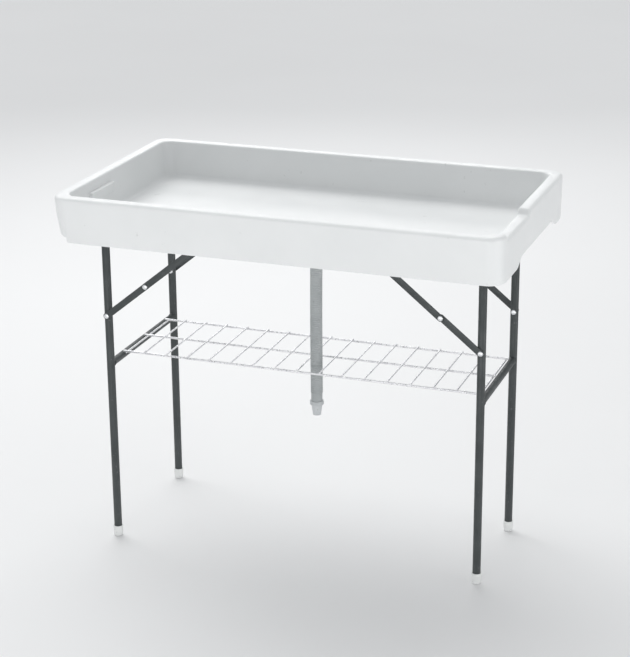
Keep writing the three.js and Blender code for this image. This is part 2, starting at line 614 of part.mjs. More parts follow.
// ---- Wire shelf ---------------------------------------------------------------------------
// One welded grid. The long wires rest on the two crossbars. The shorter wires lie across them,
// and one under each end bears against the inner side of its crossbar.
function buildShelf() {
  const long = LONG_WIRE / 2;
  const cross = CROSS_WIRE / 2;
  const longZ = CROSSBAR_HEIGHT + CROSSBAR_RADIUS + GAP + long;
  const halfLength = LEG_X - WIRE_OVERLAP;
  let shelf = null;
  for (const y of [-SHELF_HALF_WIDTH, 0, SHELF_HALF_WIDTH]) {
    const wire = new THREE.CylinderGeometry(long, long, 2 * halfLength, WIRE_SIDES)
      .rotateZ(Math.PI / 2);
    const bar = solid(at(wire, 0, y, longZ));
    shelf = shelf ? shelf.add(bar) : bar;
  }
  const halfWidth = SHELF_HALF_WIDTH + long;
  const crossZ = longZ + long + cross - WIRE_WELD;
  const first = -(SHELF_CROSS_WIRES - 1) / 2;
  for (let i = 0; i < SHELF_CROSS_WIRES; i += 1) {
    const x = (first + i) * SHELF_PITCH;
    shelf = shelf.add(barY(cross, x, crossZ, -halfWidth, halfWidth, WIRE_SIDES));
  }
  const stopX = LEG_X - CROSSBAR_RADIUS - cross - GAP;
  const stopZ = longZ - long - cross + WIRE_WELD;
  for (const side of [-1, 1]) {
    shelf = shelf.add(barY(cross, side * stopX, stopZ, -halfWidth, halfWidth, WIRE_SIDES));
  }
  add('wire_shelf', geometryOf(shelf), finishes.wire);
}

// ---- Assembly -----------------------------------------------------------------------------
buildTub();
buildDrain();
buildHose();
frames.forEach(buildCrossbar);
for (const place of legPlaces) {
  buildLeg(place);
  buildLegBracket(place);
  buildBrace(place);
}
buildShelf();

export default table;
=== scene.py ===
# %% [markdown]
# # A folding tub table, built as a lesson
#
# The object is a moulded plastic tub on two folding steel leg frames. Brace links hold the
# legs open, a wire shelf lies on the crossbars, and a corrugated drain hose hangs under the
# tub. The engineering model fixes every place and size, so this script only gives each piece
# its finer form and its finish. All lengths are metres.

# %% Load the frame
import bpy
import bmesh
import json
import math
from mathutils import Matrix, Vector


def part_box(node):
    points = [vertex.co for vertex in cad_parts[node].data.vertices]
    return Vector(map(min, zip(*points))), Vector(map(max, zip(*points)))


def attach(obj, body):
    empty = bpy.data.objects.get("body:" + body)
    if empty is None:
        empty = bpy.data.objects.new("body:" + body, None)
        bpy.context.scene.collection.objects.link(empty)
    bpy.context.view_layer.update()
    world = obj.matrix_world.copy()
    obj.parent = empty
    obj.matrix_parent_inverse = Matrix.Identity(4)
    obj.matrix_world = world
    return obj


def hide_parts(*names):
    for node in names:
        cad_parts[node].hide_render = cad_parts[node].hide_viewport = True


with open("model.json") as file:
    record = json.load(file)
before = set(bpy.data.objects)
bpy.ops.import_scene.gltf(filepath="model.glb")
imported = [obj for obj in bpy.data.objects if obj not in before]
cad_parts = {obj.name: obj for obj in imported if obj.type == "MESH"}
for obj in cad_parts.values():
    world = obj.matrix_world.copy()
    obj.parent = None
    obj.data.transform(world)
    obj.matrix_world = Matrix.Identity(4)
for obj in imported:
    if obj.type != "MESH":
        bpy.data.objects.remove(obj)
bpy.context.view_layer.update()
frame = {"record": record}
SLOT = {row["node"]: row["material_slot"] for row in frame["record"]["subparts"]}
BODIES = frame["record"]["behaviour"]["bodies"]
BODY = {node: body for body, nodes in BODIES.items() for node in nodes}

# %% [markdown]
# ## The camera
#
# A product picture is taken with a long lens from a little above and to one side. The camera
# could be aimed with a constraint, but a fixed place and three fixed directions keep the same
# framing on every run. The small shift slides the table within the frame without turning
# the camera, so the upright legs keep their lines.

# %% Place the camera
CAMERA_PLACE = Vector((1.6681, -4.5721, 2.3293))
CAMERA_RIGHT = Vector((0.94675, 0.32198, -0.00017))
CAMERA_UP = Vector((-0.10617, 0.31267, 0.94391))
camera_data = bpy.data.cameras.new("camera")
camera_data.lens = 102.83
camera_data.sensor_width = 36.0
camera_data.shift_x = -0.0587
camera_data.shift_y = -0.0099
camera = bpy.data.objects.new("camera", camera_data)
turn = Matrix((CAMERA_RIGHT, CAMERA_UP, CAMERA_RIGHT.cross(CAMERA_UP))).transposed()
camera.matrix_world = Matrix.Translation(CAMERA_PLACE) @ turn.to_4x4()
bpy.context.collection.objects.link(camera)
bpy.context.scene.camera = camera
print("camera lens:", camera_data.lens, "mm")

# %% [markdown]
# ## Finishes
#
# Every finish is a small tree of nodes on Object coordinates, so it needs no picture and no
# unwrapping. The same recipe serves moulded plastic, powder coat and plated steel: a base
# colour that drifts a little between two tones, sparse scuffs that lift or dull it, a
# roughness that drifts too, and a fine bump for the grain of the surface. Only the numbers
# change, which is how a maker thinks of finishes as well.

# %% A recipe for finishes
TONE_BLEND = (0.35, 0.65)
ROUGH_BLEND = (0.3, 0.7)
SCUFF_FROM, SCUFF_FULL = 0.72, 0.76
SCUFF_STRENGTH = 0.6
GRAIN_STRENGTH = 0.35


def finish(name, tone, other_tone, drift, rough, grain, scuff=None, metallic=0.0, gloss=0.5):
    """A material that drifts from tone to other_tone, at about drift patches a metre.

    rough is (low, high), grain is (scale, depth in metres) and scuff is (colour, scale,
    share of the surface). metallic is 1 for bare metal, and gloss is the specular level.
    """
    made = bpy.data.materials.new(name)
    made.use_nodes = True
    nodes, links = made.node_tree.nodes, made.node_tree.links
    shader = nodes["Principled BSDF"]
    shader.inputs["Metallic"].default_value = metallic
    shader.inputs["Specular IOR Level"].default_value = gloss
    place = nodes.new("ShaderNodeTexCoord").outputs["Object"]

    def cloud(scale, detail):
        noise = nodes.new("ShaderNodeTexNoise")
        noise.inputs["Scale"].default_value = scale
        noise.inputs["Detail"].default_value = detail
        links.new(place, noise.inputs["Vector"])
        return noise.outputs["Fac"]

    def between(value, low, high, start, end):
        ramp = nodes.new("ShaderNodeMapRange")
        ramp.inputs["From Min"].default_value = low
        ramp.inputs["From Max"].default_value = high
        ramp.inputs["To Min"].default_value = start
        ramp.inputs["To Max"].default_value = end
        links.new(value, ramp.inputs["Value"])
        return ramp.outputs["Result"]

    def blended(share, first, second):
        mix = nodes.new("ShaderNodeMix")
        mix.data_type = "RGBA"
        links.new(share, mix.inputs["Factor"])
        for socket, colour in ((mix.inputs[6], first), (mix.inputs[7], second)):
            if isinstance(colour, tuple):
                socket.default_value = (*colour, 1.0)
            else:
                links.new(colour, socket)
        return mix.outputs[2]

    colour = blended(between(cloud(drift, 4.0), *TONE_BLEND, 0.0, 1.0), tone, other_tone)
    if scuff:
        scuff_tone, scuff_scale, share = scuff
        mark = between(cloud(scuff_scale, 8.0), SCUFF_FROM - share, SCUFF_FULL - share,
                       0.0, SCUFF_STRENGTH)
        colour = blended(mark, colour, scuff_tone)
    links.new(colour, shader.inputs["Base Color"])
    roughness = between(cloud(drift * 3.1, 6.0), *ROUGH_BLEND, *rough)
    links.new(roughness, shader.inputs["Roughness"])
    bump = nodes.new("ShaderNodeBump")
    grain_scale, grain_depth = grain
    bump.inputs["Strength"].default_value = GRAIN_STRENGTH
    bump.inputs["Distance"].default_value = grain_depth
    links.new(cloud(grain_scale, 3.0), bump.inputs["Height"])
    links.new(bump.outputs["Normal"], shader.inputs["Normal"])
    print("finish", name)
    return made


print("finish recipe ready, grain strength", GRAIN_STRENGTH)

# %% Mix the finishes of this table
FINISH = {
    "tub_plastic": finish(
        "white_polyethylene", (0.83, 0.84, 0.838), (0.80, 0.812, 0.81), 5.0, (0.34, 0.5),
        (420.0, 0.00035), scuff=((0.66, 0.67, 0.66), 34.0, 0.02)),
    "dark_steel": finish(
        "dark_powder_coat", (0.050, 0.057, 0.058), (0.066, 0.074, 0.075), 14.0, (0.38, 0.56),
        (1500.0, 0.0002), scuff=((0.15, 0.16, 0.16), 120.0, 0.05), gloss=0.35),
    "zinc_steel": finish(
        "bright_zinc_plate", (0.88, 0.89, 0.9), (0.74, 0.75, 0.77), 160.0, (0.2, 0.38),
        (1900.0, 0.0001), scuff=((0.5, 0.5, 0.5), 300.0, 0.06), metallic=0.85),
    "shelf_wire": finish(
        "plated_wire", (0.90, 0.90, 0.91), (0.70, 0.70, 0.72), 55.0, (0.22, 0.42),
        (1300.0, 0.00012), scuff=((0.42, 0.42, 0.43), 210.0, 0.07), metallic=0.7),
    "foot_plastic": finish(
        "off_white_caps", (0.80, 0.81, 0.80), (0.74, 0.75, 0.74), 40.0, (0.4, 0.58),
        (900.0, 0.0002), scuff=((0.38, 0.38, 0.37), 150.0, 0.06)),
    "drain_plastic": finish(
        "grey_fittings", (0.60, 0.62, 0.63), (0.54, 0.56, 0.57), 30.0, (0.35, 0.5),
        (900.0, 0.00015), scuff=((0.36, 0.37, 0.37), 140.0, 0.05)),
    "hose_plastic": finish(
        "grey_hose", (0.43, 0.45, 0.455), (0.375, 0.395, 0.40), 22.0, (0.42, 0.6),
        (1100.0, 0.00015), scuff=((0.24, 0.25, 0.25), 90.0, 0.06)),
}

# %% [markdown]
# ## From a bmesh to a piece
#
# A bmesh is the workbench on which the operators shape a mesh. One helper takes it off the
# bench: it turns all faces outward, smooths the round parts while it keeps real edges sharp,
# gives it the finish of the node that it stands for, and fixes it to that node's body.

# %% Hand a bmesh over as a finished piece
BEVEL_FROM = math.radians(40.0)


def piece(name, shape, *nodes, outward=True, sharp=35.0, bevel=0.0):
    if outward:
        bmesh.ops.recalc_face_normals(shape, faces=shape.faces)
    mesh = bpy.data.meshes.new(name)
    shape.to_mesh(mesh)
    shape.free()
    mesh.polygons.foreach_set("use_smooth", [True] * len(mesh.polygons))
    mesh.set_sharp_from_angle(angle=math.radians(sharp))
    made = bpy.data.objects.new(name, mesh)
    bpy.context.collection.objects.link(made)
    mesh.materials.append(FINISH[SLOT[nodes[0]]])
    if bevel:
        rounding = made.modifiers.new("edges", "BEVEL")
        rounding.width = bevel
        rounding.segments = 2
        rounding.limit_method = "ANGLE"
        rounding.angle_limit = BEVEL_FROM
    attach(made, BODY[nodes[0]])
    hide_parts(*nodes)
    print("piece", name, len(mesh.polygons), "faces")
    return made


print("bodies a piece can ride on:", ", ".join(BODIES))

# %% [markdown]
# ## Turning and joining
#
# Tubes, rivets, caps, screws and fittings are all round about an axis. A lathe would turn
# them, and here `spin` does: a profile of radius and height points is swept once round. A
# profile that starts and ends on the axis makes a solid, and a closed one makes a ring.

# %% Turn a profile, join shapes
ALONG = {"Z": Matrix.Identity(3),
         "+Y": Matrix(((1, 0, 0), (0, 0, 1), (0, -1, 0))),
         "-Y": Matrix(((1, 0, 0), (0, 0, -1), (0, 1, 0))),
         "X": Matrix(((0, 0, 1), (0, 1, 0), (-1, 0, 0)))}


def turned(profile, centre, along="Z", sides=32, closed=False):
    shape = bmesh.new()
    points = [shape.verts.new((radius, 0.0, height)) for radius, height in profile]
    runs = [shape.edges.new(pair) for pair in zip(points, points[1:])]
    if closed:
        runs.append(shape.edges.new((points[-1], points[0])))
    bmesh.ops.spin(shape, geom=points + runs, cent=(0, 0, 0), axis=(0, 0, 1),
                   dvec=(0, 0, 0), angle=2 * math.pi, steps=sides, use_merge=True,
                   use_normal_flip=False, use_duplicate=False)
    bmesh.ops.remove_doubles(shape, verts=shape.verts, dist=1e-6)
    bmesh.ops.transform(shape, verts=shape.verts,
                        matrix=Matrix.Translation(centre) @ ALONG[along].to_4x4())
    return shape


def joined(*shapes):
    whole = bmesh.new()
    for shape in shapes:
        bmesh.ops.recalc_face_normals(shape, faces=shape.faces)
        carrier = bpy.data.meshes.new("carrier")
        shape.to_mesh(carrier)
        whole.from_mesh(carrier)
        bpy.data.meshes.remove(carrier)
        shape.free()
    return whole


def block(low, high):
    shape = bmesh.new()
    bmesh.ops.create_cube(shape, size=1.0)
    low, high = Vector(low), Vector(high)
    bmesh.ops.scale(shape, vec=high - low, verts=shape.verts)
    bmesh.ops.translate(shape, vec=(low + high) / 2, verts=shape.verts)
    return shape


def middle(node):
    low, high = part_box(node)
    return (low + high) / 2


print("axes a profile can turn on:", ", ".join(ALONG))

# %% [markdown]
# ## The drain hose
#
# The hose is a corrugated grey tube that hangs straight down from the outlet and ends in a
# collar and a short nozzle. It is hung first, because its length decides how far the model
# reaches. The corrugation could be a displacement on a smooth tube, but a hose like this has
# real ribs, so a profile with one rib every 6 mm is spun, and then each ring of points is
# carried sideways on to the hanging route.

# %% Hang the hose
HOSE_ROUTE = [
    (0.032, -0.07, 0.8857), (0.032, -0.07, 0.870), (0.0319, -0.07, 0.850),
    (0.0316, -0.0701, 0.820), (0.0313, -0.0703, 0.790), (0.031, -0.0705, 0.760),
    (0.0308, -0.0707, 0.730), (0.0306, -0.0709, 0.700), (0.0305, -0.071, 0.670),
    (0.0305, -0.0711, 0.640), (0.0305, -0.0711, 0.610), (0.0305, -0.0711, 0.580),
    (0.0306, -0.0711, 0.550), (0.0306, -0.071, 0.520), (0.0307, -0.071, 0.490),
    (0.0308, -0.071, 0.460), (0.0308, -0.071, 0.440), (0.0308, -0.071, 0.4276),
]
HOSE_RADIUS = 0.017
RIB_PITCH = 0.006
RIB_DEPTH = 0.0016
POINTS_PER_RIB = 6
PLAIN_END = 0.022


def route_at(height):
    for above, below in zip(HOSE_ROUTE, HOSE_ROUTE[1:]):
        if height >= below[2]:
            share = (above[2] - height) / (above[2] - below[2])
            return Vector(above).lerp(Vector(below), min(max(share, 0.0), 1.0))
    return Vector(HOSE_ROUTE[-1])


hose_top = HOSE_ROUTE[0][2]
hose_end = HOSE_ROUTE[-1][2]
hose_profile = [(0.0, hose_top), (HOSE_RADIUS - RIB_DEPTH, hose_top)]
ribbed_length = hose_top - hose_end - 2 * PLAIN_END
rings = int(ribbed_length / RIB_PITCH * POINTS_PER_RIB)
for ring in range(rings + 1):
    height = hose_top - PLAIN_END - ring * ribbed_length / rings
    wave = 0.5 + 0.5 * math.cos(2 * math.pi * ring / POINTS_PER_RIB)
    hose_profile.append((HOSE_RADIUS - RIB_DEPTH * wave, height))
hose_profile += [(HOSE_RADIUS - RIB_DEPTH, hose_end), (0.0, hose_end)]
hose_shape = turned(hose_profile, (0, 0, 0), sides=36)
for point in hose_shape.verts:
    spot = route_at(point.co.z)
    point.co.x += spot.x
    point.co.y += spot.y
hose = piece("drain_hose_ribbed", hose_shape, "drain_hose")

# %% [markdown]
# The clamp is a thin worm band round the top of the hose with its screw housing toward the
# front, and the fitting at the bottom is a ribbed collar with a tapered nozzle. All three
# belong to the hose, so they are named with it.

# %% Clamp, collar and nozzle
clamp_low, clamp_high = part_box("hose_clamp")
clamp_at = Vector((HOSE_ROUTE[1][0], HOSE_ROUTE[1][1], 0.0))
band = turned([(0.0174, clamp_low.z), (0.0190, clamp_low.z), (0.0192, clamp_low.z + 0.001),
               (0.0192, clamp_high.z - 0.001), (0.0190, clamp_high.z), (0.0174, clamp_high.z)],
              clamp_at, sides=48, closed=True)
housing = block((clamp_at.x - 0.0045, clamp_low.y + 0.0005, clamp_low.z + 0.001),
                (clamp_at.x + 0.0045, clamp_low.y + 0.008, clamp_high.z - 0.001))
worm = turned([(0.0, -0.009), (0.0025, -0.009), (0.003, -0.0085), (0.003, 0.0075),
               (0.0025, 0.008), (0.0, 0.008)],
              (clamp_at.x, clamp_low.y + 0.0045, (clamp_low.z + clamp_high.z) / 2), "X", 16)
clamp = piece("hose_worm_clamp", joined(band, housing, worm), "hose_clamp", bevel=0.0005)

collar_low, collar_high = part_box("hose_collar")
collar_at = Vector((HOSE_ROUTE[-1][0], HOSE_ROUTE[-1][1], 0.0))
collar_profile = [(0.0, collar_low.z), (0.0180, collar_low.z), (0.0190, collar_low.z + 0.0008)]
for groove in range(1, 4):
    height = collar_low.z + groove * (collar_high.z - collar_low.z) / 4
    collar_profile += [(0.0190, height - 0.0007), (0.0182, height), (0.0190, height + 0.0007)]
collar_profile += [(0.0190, collar_high.z - 0.0008), (0.0180, collar_high.z),
                   (0.0, collar_high.z)]
collar = piece("hose_end_collar", turned(collar_profile, collar_at, sides=48), "hose_collar")

nozzle_low, nozzle_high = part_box("hose_nozzle")
nozzle = piece("hose_end_nozzle", turned(
    [(0.0, nozzle_low.z + 0.012), (0.0085, nozzle_low.z + 0.010), (0.0085, nozzle_low.z),
     (0.0110, nozzle_low.z), (0.0115, nozzle_low.z + 0.0006), (0.0126, nozzle_low.z + 0.012),
     (0.0131, nozzle_low.z + 0.0125), (0.0150, nozzle_high.z - 0.0005),
     (0.0145, nozzle_high.z), (0.0, nozzle_high.z)], collar_at, sides=48), "hose_nozzle")
print("hose length:", round(hose_top - hose_end, 4), "m")

# %% [markdown]
# ## The tub
#
# The tub is one moulding: a skirt that leans in toward its foot, except at the right end,
# which stands upright, then a rolled rim, steep inner walls and a flat floor with a rounded
# edge. A subdivided cage would work, but this shape is a stack of rounded rectangles, so one
# outline is made by rounding the corners of a rectangle with `bevel`, and then extruded
# again and again, each new loop carried to its own size and height.

# %% The outline and its loops
tub_low, tub_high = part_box("tub_shell")
HALF = Vector((tub_high.x, tub_high.y))
RIM = tub_high.z
SKIRT_FOOT = tub_low.z
RIM_WIDTH = 0.034
RIM_ROUND = 0.009
FLOOR = RIM - 0.102
UNDERSIDE = 0.910
OUTER_CORNER = 0.045
INNER_CORNER = 0.028
FLOOR_ROUND = 0.012
SKIRT_LEAN = 0.07
WALL_LEAN = 0.12
WALL = 0.0045
STRAIGHT_OVER = 0.3
STRAIGHT_CUTS = 23

tub = bmesh.new()
bmesh.ops.create_grid(tub, x_segments=1, y_segments=1, size=1.0)
bmesh.ops.scale(tub, vec=(HALF.x, HALF.y, 1.0), verts=tub.verts)
bmesh.ops.bevel(tub, geom=tub.verts[:], offset=OUTER_CORNER, offset_type="OFFSET", segments=10,
                profile=0.5, affect="VERTICES", material=-1, clamp_overlap=False)
bmesh.ops.delete(tub, geom=tub.faces[:], context="FACES_ONLY")
long_edges = [edge for edge in tub.edges if edge.calc_length() > STRAIGHT_OVER]
bmesh.ops.subdivide_edges(tub, edges=long_edges, cuts=STRAIGHT_CUTS)
outline_core = Vector((HALF.x - OUTER_CORNER, HALF.y - OUTER_CORNER))
print("outline points:", len(tub.verts), "spread", max(v.co.x for v in tub.verts))


def split(point):
    """A point of the outline as its place on the inner core and its reach from there."""
    core = Vector((min(max(point.x, -outline_core.x), outline_core.x),
                   min(max(point.y, -outline_core.y), outline_core.y)))
    return core, Vector((point.x, point.y)) - core


OUTLINE = [split(point.co) for point in tub.verts]


def carried(place, inset, corner):
    """The same place on a rounded rectangle that lies inset metres inside the outline."""
    core, reach = place
    now = Vector((HALF.x - inset - corner, HALF.y - inset - corner))
    return Vector((core.x * now.x / outline_core.x + reach.x * corner / OUTER_CORNER,
                   core.y * now.y / outline_core.y + reach.y * corner / OUTER_CORNER))


# %% List the levels from the skirt's foot to the floor
SKIRT_HEIGHTS = (SKIRT_FOOT, 0.900, 0.906, 0.914, 0.924, 0.934, 0.944, 0.956, 0.972, 0.988,
                 1.002)
WALL_HEIGHTS = (1.002, 0.988, 0.972, 0.956, 0.944)
ROUND_STEPS = 6
ROLL = 0.006
ROLL_STEPS = 4
WALL_EASE = 0.001
FLOOR_STRIP = 0.03
widest = RIM - RIM_ROUND
wall_foot = RIM_WIDTH + (RIM - FLOOR) * WALL_LEAN

# A level is (inset from the outline, height, corner radius).
levels = [((widest - height) * SKIRT_LEAN, height, OUTER_CORNER) for height in SKIRT_HEIGHTS]
for step in range(ROUND_STEPS + 1):
    angle = math.pi / 2 * step / ROUND_STEPS
    drawn_in = RIM_ROUND * (1 - math.cos(angle))
    levels.append((drawn_in, widest + RIM_ROUND * math.sin(angle), OUTER_CORNER - drawn_in))
for step in range(ROLL_STEPS + 1):
    angle = math.pi / 2 * step / ROLL_STEPS
    levels.append((RIM_WIDTH - ROLL + ROLL * math.sin(angle),
                   RIM - ROLL * (1 - math.cos(angle)), INNER_CORNER + ROLL / 2))
for height in WALL_HEIGHTS:
    levels.append((RIM_WIDTH + (RIM - height) * WALL_LEAN, height, INNER_CORNER))
for step in range(ROUND_STEPS + 1):
    angle = math.pi / 2 * step / ROUND_STEPS
    levels.append((wall_foot + FLOOR_ROUND * (1 - math.cos(angle)) - WALL_EASE * math.cos(angle),
                   FLOOR + FLOOR_ROUND * (1 - math.sin(angle)), INNER_CORNER))
levels.append((wall_foot + FLOOR_STRIP, FLOOR, INNER_CORNER))
print("levels:", len(levels), "from", round(levels[0][1], 4), "up to", round(RIM, 4))

# %% Grow the loops through the levels
loop = tub.verts[:]
edges = tub.edges[:]
for number, (inset, height, corner) in enumerate(levels):
    if number:
        grown = bmesh.ops.extrude_edge_only(tub, edges=edges)["geom"]
        edges = [part for part in grown if isinstance(part, bmesh.types.BMEdge)
                 and not part.is_manifold and len(part.link_faces) == 1]
        top = {vert for edge in edges for vert in edge.verts}
        partner = {}
        for vert in top:
            old = next(edge.other_vert(vert) for edge in vert.link_edges
                       if edge.other_vert(vert) not in top)
            partner[old] = vert
        loop = [partner[vert] for vert in loop]
    upright = HALF.x / (HALF.x - inset) if number < len(SKIRT_HEIGHTS) else 1.0
    for vert, place in zip(loop, OUTLINE):
        spot = carried(place, inset, corner)
        vert.co = (spot.x * upright if spot.x > 0 else spot.x, spot.y, height)
print("tub loops:", len(levels), "points:", len(tub.verts))

# %% [markdown]
# Three details break the plain stack. A hand hold is arched into the skirt's foot at each
# end, the foot of the left end turns up in a wide round above a small step, and the rim of
# the right end is lowered on its front third. `bisect_plane` first cuts clean lines across
# the mesh where those details start and stop, and then the points between are moved. The
# points of the skirt above the height STILL keep their place.

# %% Cut clean lines where the details start and stop
GRIP_FROM = -0.132
GRIP_TO = 0.190
GRIP_RAMP = 0.055
STEP_ROUND = 0.007
FOOT_ROUND = 0.038
FOOT_TOP = 0.949
FOOT_CUTS = (0.0, 0.0035, 0.0055, 0.0069, 0.0075, 0.011, 0.015, 0.021, 0.027, 0.033, 0.038)
DIP_FROM = -0.286
DIP_TO = -0.066
DIP_RAMP = 0.014
RAMP_CUTS = 4
foot_start = HALF.x - (widest - FOOT_TOP) * SKIRT_LEAN - FOOT_ROUND - STEP_ROUND


def cut_across(distance, direction):
    bmesh.ops.bisect_plane(tub, geom=tub.verts[:] + tub.edges[:] + tub.faces[:], dist=1e-5,
                           plane_co=Vector(direction) * distance, plane_no=direction)


for number in range(RAMP_CUTS + 1):
    part = number / RAMP_CUTS
    for cut in (GRIP_FROM - GRIP_RAMP * part, GRIP_TO + GRIP_RAMP * part,
                DIP_FROM - DIP_RAMP * part, DIP_TO + DIP_RAMP * part):
        cut_across(cut, (0, 1, 0))
for out in FOOT_CUTS:
    cut_across(-foot_start - out, (1, 0, 0))
print("tub points after the cuts:", len(tub.verts))

# %% Hand holds, the turned-up left foot and the lowered rim
GRIP_RISE = 0.022
STEP_RISE = 0.014
DIP_DEPTH = 0.015
DIP_BOTTOM = 0.95
DIP_FULL = 0.995
DIP_WITHIN = 0.34
RIGHT_END = 0.5
STILL = 0.96
SKIRT_BAND = 0.02
EDGE_BAND = 0.03


def smooth_step(value, start, end):
    share = min(max((value - start) / (end - start), 0.0), 1.0)
    return share * share * (3 - 2 * share)


def quarter_round(reach, radius):
    return radius - math.sqrt(radius ** 2 - min(max(reach, 0.0), radius) ** 2)


def left_foot(out):
    """How far the foot turns up this far outside the place where the left end's step starts."""
    if out < STEP_ROUND:
        return quarter_round(out, STEP_ROUND)
    return STEP_RISE + quarter_round(out - STEP_ROUND, FOOT_ROUND)


for vert in tub.verts:
    x, y, z = vert.co
    outside = (abs(x) > HALF.x - SKIRT_BAND or abs(y) > HALF.y - SKIRT_BAND
               or z < UNDERSIDE)
    if outside and z < STILL:
        rise = left_foot(-x - foot_start)
        if abs(x) > HALF.x - EDGE_BAND:
            arch = smooth_step(y, GRIP_FROM - GRIP_RAMP, GRIP_FROM)
            arch *= 1 - smooth_step(y, GRIP_TO, GRIP_TO + GRIP_RAMP)
            rise = max(rise, GRIP_RISE * arch)
        vert.co.z = STILL - (STILL - z) * (STILL - SKIRT_FOOT - rise) / (STILL - SKIRT_FOOT)
    if x > RIGHT_END and z > DIP_BOTTOM and abs(y) < DIP_WITHIN:
        share = smooth_step(y, DIP_FROM - DIP_RAMP, DIP_FROM)
        share *= 1 - smooth_step(y, DIP_TO, DIP_TO + DIP_RAMP)
        vert.co.z -= DIP_DEPTH * share * smooth_step(z, DIP_BOTTOM, DIP_FULL)
print("foot of the skirt at", round(min(vert.co.z for vert in tub.verts), 4), "m")

# %% [markdown]
# The floor is filled with `triangle_fill`, which also leaves the round hole for the outlet,
# and `solidify` gives the sheet its wall. The underside of the floor is then drawn down to
# its full thickness, and the skirt's sharp foot is rounded with a small bevel. A low ledge
# with a flat top is moulded inside the left end.

# %% Fill the floor round the outlet
OUTLET_HOLE = 0.0185
flange_mid = middle("drain_flange")
floor_edges = [edge for edge in tub.edges
               if edge.is_boundary and edge.verts[0].co.z < FLOOR + 1e-4
               and abs(edge.verts[0].co.y) < HALF.y - EDGE_BAND
               and abs(edge.verts[0].co.x) < HALF.x - EDGE_BAND]
outlet = bmesh.ops.create_circle(tub, cap_ends=False, radius=OUTLET_HOLE, segments=40)["verts"]
bmesh.ops.translate(tub, vec=(flange_mid.x, flange_mid.y, FLOOR), verts=outlet)
outlet_edges = list({edge for vert in outlet for edge in vert.link_edges})
bmesh.ops.triangle_fill(tub, use_beauty=True, use_dissolve=False,
                        edges=floor_edges + outlet_edges, normal=(0, 0, 1))
bmesh.ops.recalc_face_normals(tub, faces=tub.faces)
floor_faces = [face for face in tub.faces if abs(face.calc_center_median().z - FLOOR) < 1e-5]
if floor_faces[0].normal.z < 0:
    bmesh.ops.reverse_faces(tub, faces=tub.faces)
print("floor faces:", len(floor_faces), "round a hole of", 2 * OUTLET_HOLE, "m")

# %% Give the tub its wall and round its foot
FOOT_EDGE = 0.0014
FOOT_BELOW = 0.945
FOOT_TURN = 1.1
FOOT_WITHIN_X = 0.05
bmesh.ops.solidify(tub, geom=tub.faces[:], thickness=WALL)
for vert in tub.verts:
    if abs(vert.co.z - (FLOOR - WALL)) < 2e-4 and abs(vert.co.x) < HALF.x - wall_foot:
        vert.co.z = UNDERSIDE
foot_edges = [edge for edge in tub.edges if edge.verts[0].co.z < FOOT_BELOW and edge.is_manifold
              and edge.calc_face_angle() > FOOT_TURN
              and (abs(edge.verts[0].co.x) > HALF.x - FOOT_WITHIN_X
                   or abs(edge.verts[0].co.y) > HALF.y - EDGE_BAND)]
bmesh.ops.bevel(tub, geom=foot_edges, offset=FOOT_EDGE, segments=3, profile=0.5,
                affect="EDGES", material=-1, clamp_overlap=True)
print("rounded foot edges:", len(foot_edges))

# %% Add the ledge and hand the tub over
LEDGE_FRONT = -0.190
LEDGE_BACK = -0.055
LEDGE_FOOT = 0.962
LEDGE_TOP = 0.992
LEDGE_UNDER_RIM = 0.028
LEDGE_REACH = 0.012
LEDGE_FOOT_REACH = 0.0045
LEDGE_SUNK = 0.003
wall_x = -HALF.x + RIM_WIDTH + WALL_LEAN * LEDGE_UNDER_RIM
ledge = block((wall_x - LEDGE_SUNK, LEDGE_FRONT, LEDGE_FOOT),
              (wall_x + LEDGE_REACH, LEDGE_BACK, LEDGE_TOP))
for vert in ledge.verts:
    if vert.co.z < (LEDGE_FOOT + LEDGE_TOP) / 2 and vert.co.x > wall_x:
        vert.co.x = wall_x + LEDGE_FOOT_REACH
bmesh.ops.bevel(ledge, geom=ledge.edges[:], offset=0.0022, segments=4, profile=0.5,
                affect="EDGES", material=-1)
piece("tub_moulding", joined(tub, ledge), "tub_shell", outward=False, sharp=40.0)

# %% [markdown]
# ## The outlet
#
# A flanged tail passes through the floor and is drawn tight by a six-sided nut underneath. A
# small perforated plate keeps things out of the pipe. The flange and nut are turned, and the
# plate is a disc with its holes left open by `triangle_fill`, then extruded.

# %% Flange, nut and strainer
flange_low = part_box("drain_flange")[0]
seat = FLOOR + 0.0003
piece("outlet_flange", turned(
    [(0.014, flange_low.z), (0.0172, flange_low.z), (0.018, flange_low.z + 0.0008),
     (0.018, seat), (0.0282, seat), (0.029, seat + 0.0006), (0.0288, seat + 0.0013),
     (0.0262, seat + 0.0026), (0.0245, seat + 0.003), (0.0170, seat + 0.003),
     (0.0161, seat + 0.0022), (0.0161, seat + 0.0002), (0.014, seat)],
    (flange_mid.x, flange_mid.y, 0), sides=64, closed=True), "drain_flange")

NUT_RADIUS = 0.027
nut_low, nut_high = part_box("drain_nut")
nut = bmesh.new()
bmesh.ops.create_cone(nut, cap_ends=True, segments=6, radius1=NUT_RADIUS, radius2=NUT_RADIUS,
                      depth=nut_high.z - nut_low.z)
bmesh.ops.bevel(nut, geom=nut.edges[:], offset=0.0012, segments=3, profile=0.5,
                affect="EDGES", material=-1)
bmesh.ops.translate(nut, vec=middle("drain_nut"), verts=nut.verts)
nut_lip = turned([(0.0185, nut_low.z - 0.0008), (0.0215, nut_low.z - 0.0008),
                  (0.0225, nut_low.z + 0.001), (0.0185, nut_low.z + 0.001)],
                 (flange_mid.x, flange_mid.y, 0), sides=48, closed=True)
piece("outlet_nut", joined(nut, nut_lip), "drain_nut")

